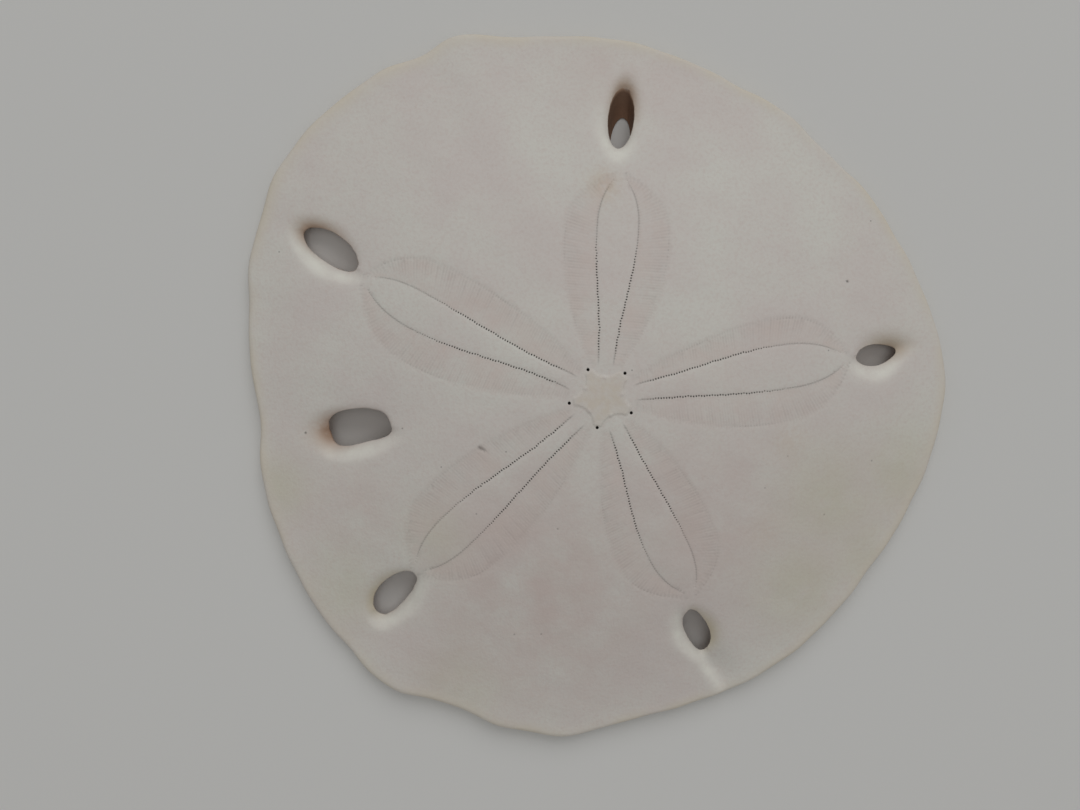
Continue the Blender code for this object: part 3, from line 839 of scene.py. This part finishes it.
# %% [markdown]
# ## Bleached calcite
# The test is calcite, grown as a fine sponge of mineral and bleached after it
# was found. It looks like unglazed china: pale, matt and slightly warm, with a
# grain of worn tubercles some 0.4 mm across. The pore bands are a little pinker
# than the plates, the star is buff, the margin has yellowed, and dirt stays on
# the worn slopes of the slots. The pores, slits and grooves are painted near
# black as shade, and the lit flanks of the slots are painted whiter as highlight.

# %% Colours and a way to add nodes
def linear(hex_colour):
    """sRGB hex to the linear colour that shaders use."""
    channels = [int(hex_colour[i:i + 2], 16) / 255 for i in (1, 3, 5)]
    return tuple(c / 12.92 if c <= 0.04045 else ((c + 0.055) / 1.055)**2.4 for c in channels) + (1.0,)


def add_node(tree, kind, settings=None, feeds=None):
    """Adds a node. Settings are its own choices; feeds give an input a value or the socket that feeds it."""
    item = tree.nodes.new(kind)
    for name, value in (settings or {}).items():
        setattr(item, name, value)
    for name, value in (feeds or {}).items():
        if isinstance(value, bpy.types.NodeSocket):
            tree.links.new(value, item.inputs[name])
        else:
            item.inputs[name].default_value = value
    return item


CHALK = "#D7D5CE"
HIGHLIGHT_WHITE = "#E6E5DC"
CHALK_PINK = "#D4CDC8"
ROSY = "#CDBEB8"
BAND_PINK = "#D3C5BE"
STAR_BUFF = "#CFC4B4"
EDGE_CREAM = "#D5CDBE"
ALGAE_GREEN = "#C4C1A5"
STAIN_TAN = "#B0937C"
TAN = "#C9B39B"
WALL_BROWN = "#8F6E58"
SHADE_AND_DIRT_DARK = "#1C1610"

# %% [markdown]
# ## Where the calcite changes
# Real calcite isn't one colour. Broad rosy and chalky patches come from a noise,
# as slow and soft as on the real test, and each mark brings in its own colour:
# green where algae grew, white on the low flanks as a painted highlight, brown on
# dirty slopes, and near black as painted shade in the pores, slits and grooves.
# Every layer mixes over the last, the painted shade and the specks of dirt on top.

# %% Colour of the calcite
calcite = bpy.data.materials.new("bleached_calcite_test")
calcite.use_nodes = True
tree = calcite.node_tree
tree.nodes.clear()
where = add_node(tree, 'ShaderNodeTexCoord').outputs['Object']
mark = {name: add_node(tree, 'ShaderNodeAttribute', {'attribute_name': name}).outputs['Fac']
        for name in MARKS}


def patches(millimetres, low, high, strength):
    """Soft patches of about that size, from 0 below `low` of a noise to `strength` above `high`."""
    noise = add_node(tree, 'ShaderNodeTexNoise', None,
                     {'Vector': where, 'Scale': 1 / (millimetres * MM), 'Detail': 3.0, 'Roughness': 0.55})
    ramp = add_node(tree, 'ShaderNodeMapRange', None,
                    {'Value': noise.outputs['Fac'], 'From Min': low, 'From Max': high, 'To Max': strength})
    return ramp.outputs['Result']


# Specks of dirt 0.3 mm across: one to some of the cells of a plan 3 mm apart.
cells = add_node(tree, 'ShaderNodeTexVoronoi', {'voronoi_dimensions': '2D'},
                 {'Vector': where, 'Scale': 1 / (3.0 * MM)})
lot = add_node(tree, 'ShaderNodeSeparateColor', None, {'Color': cells.outputs['Color']})
near = add_node(tree, 'ShaderNodeMapRange', None,
                {'Value': cells.outputs['Distance'], 'From Min': 0.03, 'From Max': 0.065,
                 'To Min': 0.45, 'To Max': 0.0}).outputs['Result']
chosen = add_node(tree, 'ShaderNodeMath', {'operation': 'GREATER_THAN'},
                  {0: lot.outputs['Red'], 1: 0.993}).outputs[0]

# This paints the shade in the pores, egg pores, mouth and anus near black, and also darkens the placed specks
# of dirt.
pit_shade_and_specks = add_node(tree, 'ShaderNodeMapRange', None,
                     {'Value': mark['pore'], 'From Min': 0.28, 'From Max': 0.55,
                      'To Max': 0.97}).outputs['Result']
# Each layer's colour is laid over the ones before it, by how much of it there is and where.
LAYERS = [
    (CHALK_PINK, patches(16, 0.35, 0.65, 1.0), None),
    (ROSY, patches(0.6, 0.45, 0.8, 0.5), None),
    (ROSY, patches(7, 0.25, 0.6, 0.8), mark['rosy']),
    (ALGAE_GREEN, patches(6, 0.0, 0.5, 1.0), mark['algae']),
    (TAN, patches(1.2, 0.2, 0.5, 1.0), mark['tan']),
    (BAND_PINK, patches(5, 0.32, 0.7, 0.6), mark['band']),
    (STAR_BUFF, patches(1.5, 0.2, 0.6, 0.6), mark['star']),
    (EDGE_CREAM, patches(9, 0.25, 0.6, 0.9), mark['edge']),
    # Painted highlight: the low, lit flanks of the slots and the crease are made whiter.
    (HIGHLIGHT_WHITE, patches(4, 0.1, 0.6, 1.0), mark['worn']),
    (STAIN_TAN, patches(2, 0.0, 0.45, 1.0), mark['stain']),
    (WALL_BROWN, mark['wall'], 0.9),
    # The dark layers below are painted shade in the pore rows, under the front left slot's rim, in the slits
    # and grooves and in the pits. The last one is real specks of dirt.
    (SHADE_AND_DIRT_DARK, mark['row'], 0.28),
    (SHADE_AND_DIRT_DARK, mark['slit'], 0.8),
    (SHADE_AND_DIRT_DARK, pit_shade_and_specks, None),
    (SHADE_AND_DIRT_DARK, near, chosen),
]
start_colour = add_node(tree, 'ShaderNodeRGB')
start_colour.outputs[0].default_value = linear(CHALK)
colour = start_colour.outputs[0]
for tint, amount, share in LAYERS:
    if share is not None:
        amount = add_node(tree, 'ShaderNodeMath', {'operation': 'MULTIPLY'}, {0: amount, 1: share}).outputs[0]
    # Sockets 6 and 7 of a colour Mix are its A and B.
    layered = add_node(tree, 'ShaderNodeMix', {'data_type': 'RGBA'}, {0: amount, 6: colour, 7: linear(tint)})
    colour = layered.outputs[2]
print("calcite colour uses", len(tree.nodes), "nodes")

# %% [markdown]
# ## Grain and sheen
# Under the fingers the test feels like fine sandpaper, from the worn stumps of
# its spines. A cell pattern of 0.45 mm gives the stumps and a noise the pits
# between patches of them. Chalky calcite scatters light well below its surface,
# but a high roughness gives the same dry look in a solid this thick.

# %% The calcite's grain
# In mm: how wide and how deep the stumps and the pits look. STRENGTH is that of both bumps.
STUMP, STUMP_DEPTH, PIT, PIT_DEPTH = 0.45, 0.05, 1.2, 0.12
STRENGTH = 0.45
grain = add_node(tree, 'ShaderNodeTexVoronoi', {'feature': 'SMOOTH_F1'},
                 {'Vector': where, 'Scale': 1 / (STUMP * MM), 'Smoothness': 0.6}).outputs['Distance']
pits = add_node(tree, 'ShaderNodeTexNoise', None,
                {'Vector': where, 'Scale': 1 / (PIT * MM), 'Detail': 4.0}).outputs['Fac']
fine = add_node(tree, 'ShaderNodeBump', {'invert': True},
                {'Strength': STRENGTH, 'Distance': STUMP_DEPTH * MM, 'Height': grain})
bump = add_node(tree, 'ShaderNodeBump', None,
                {'Strength': STRENGTH, 'Distance': PIT_DEPTH * MM, 'Height': pits,
                 'Normal': fine.outputs['Normal']})
dryness = add_node(tree, 'ShaderNodeMapRange', None,
                   {'Value': pits, 'To Min': 0.74, 'To Max': 0.92}).outputs['Result']
shader = add_node(tree, 'ShaderNodeBsdfPrincipled', None,
                  {'IOR': 1.58, 'Specular IOR Level': 0.35, 'Base Color': colour, 'Roughness': dryness,
                   'Normal': bump.outputs['Normal']})
add_node(tree, 'ShaderNodeOutputMaterial', None, {'Surface': shader.outputs['BSDF']})
mesh.materials.append(calcite)

# %% [markdown]
# ## Floor
# The test lies on a pale plain floor, a hair below it, so the two never flicker
# through each other. The floor is paper: matt and almost without colour.

# %% Floor
bpy.ops.mesh.primitive_plane_add(size=3, location=(0, 0, -0.0002))
floor = bpy.context.object
floor.name = "floor"
paper = bpy.data.materials.new("plain_paper")
paper.use_nodes = True
paper_shader = paper.node_tree.nodes["Principled BSDF"]
paper_shader.inputs['Base Color'].default_value = linear("#D6D6D4")
paper_shader.inputs['Roughness'].default_value = 0.9
floor.data.materials.append(paper)

# %% [markdown]
# ## Light
# A wide soft window stands beyond the animal's left side, so slopes that face
# it are bright and the other sides of the slots fall into shade. A lamp
# overhead lights the floors of the slots, and a dim even sky fills in.

# %% Light
ROLL, TILT = math.radians(8.6), math.radians(5.0)
picture_up = Vector((math.sin(ROLL), math.cos(ROLL), 0))
picture_right = Vector((math.cos(ROLL), -math.sin(ROLL), 0))
upright = Vector((0, 0, 1))


def soft_light(name, towards, distance, size, watts):
    lamp = bpy.data.lights.new(name, 'AREA')
    lamp.shape = 'DISK'
    lamp.size = size
    lamp.energy = watts
    item = bpy.data.objects.new(name, lamp)
    item.location = towards.normalized() * distance
    item.rotation_euler = towards.to_track_quat('Z', 'Y').to_euler()
    bpy.context.scene.collection.objects.link(item)


window_side = picture_up * 0.74 + picture_right * 0.16 + upright * 0.68
soft_light("window", window_side, distance=2.4, size=2.0, watts=18.6)
soft_light("ceiling", picture_up * 0.05 + upright, distance=2.4, size=1.4, watts=6.2)
world = bpy.data.worlds.new("even_sky")
world.use_nodes = True
world.node_tree.nodes["Background"].inputs['Color'].default_value = linear("#E9E8E6")
world.node_tree.nodes["Background"].inputs['Strength'].default_value = 0.355
bpy.context.scene.world = world
bpy.context.scene.view_settings.view_transform = 'Standard'

# %% [markdown]
# ## Camera
# The camera looks down from about 0.2 m, five degrees off straight, turned so
# that the front of the animal points to the right and a little up. The test
# stands right of the picture's middle, so the camera is moved, not turned, to
# keep straight-down lines straight.

# %% Camera
FOCAL, SENSOR = 35.0, 36.0
# In pixels of the picture: its width and middle, and the width and middle of the test in it.
PICTURE_WIDTH, PICTURE_MIDDLE = 1080, (540.0, 405.0)
TEST_WIDTH, TEST_MIDDLE = 694, (596.0, 386.5)
FOCAL_PIXELS = FOCAL / SENSOR * PICTURE_WIDTH
DISTANCE = FOCAL_PIXELS / (TEST_WIDTH / (2 * MEAN_RADIUS)) * MM
back =upright * math.cos(TILT) + picture_up * math.sin(TILT)
camera_up = picture_up * math.cos(TILT) - upright * math.sin(TILT)
aim = Vector((-0.08 * MM, -0.52 * MM, 1.7 * MM))
off_x = (TEST_MIDDLE[0] - PICTURE_MIDDLE[0]) / FOCAL_PIXELS
off_y = -(TEST_MIDDLE[1] - PICTURE_MIDDLE[1]) / FOCAL_PIXELS
eye = aim + back * DISTANCE - picture_right * off_x * DISTANCE - camera_up * off_y * DISTANCE
view = bpy.data.cameras.new("camera")
view.lens = FOCAL
view.sensor_width = SENSOR
view.clip_start = 0.01
camera = bpy.data.objects.new("camera", view)
turned = Matrix((picture_right, camera_up, back)).transposed().to_4x4()
camera.matrix_world = Matrix.Translation(eye) @ turned
bpy.context.scene.collection.objects.link(camera)
bpy.context.scene.camera = camera
print("camera at", [round(v * 1000, 1) for v in eye], "mm")
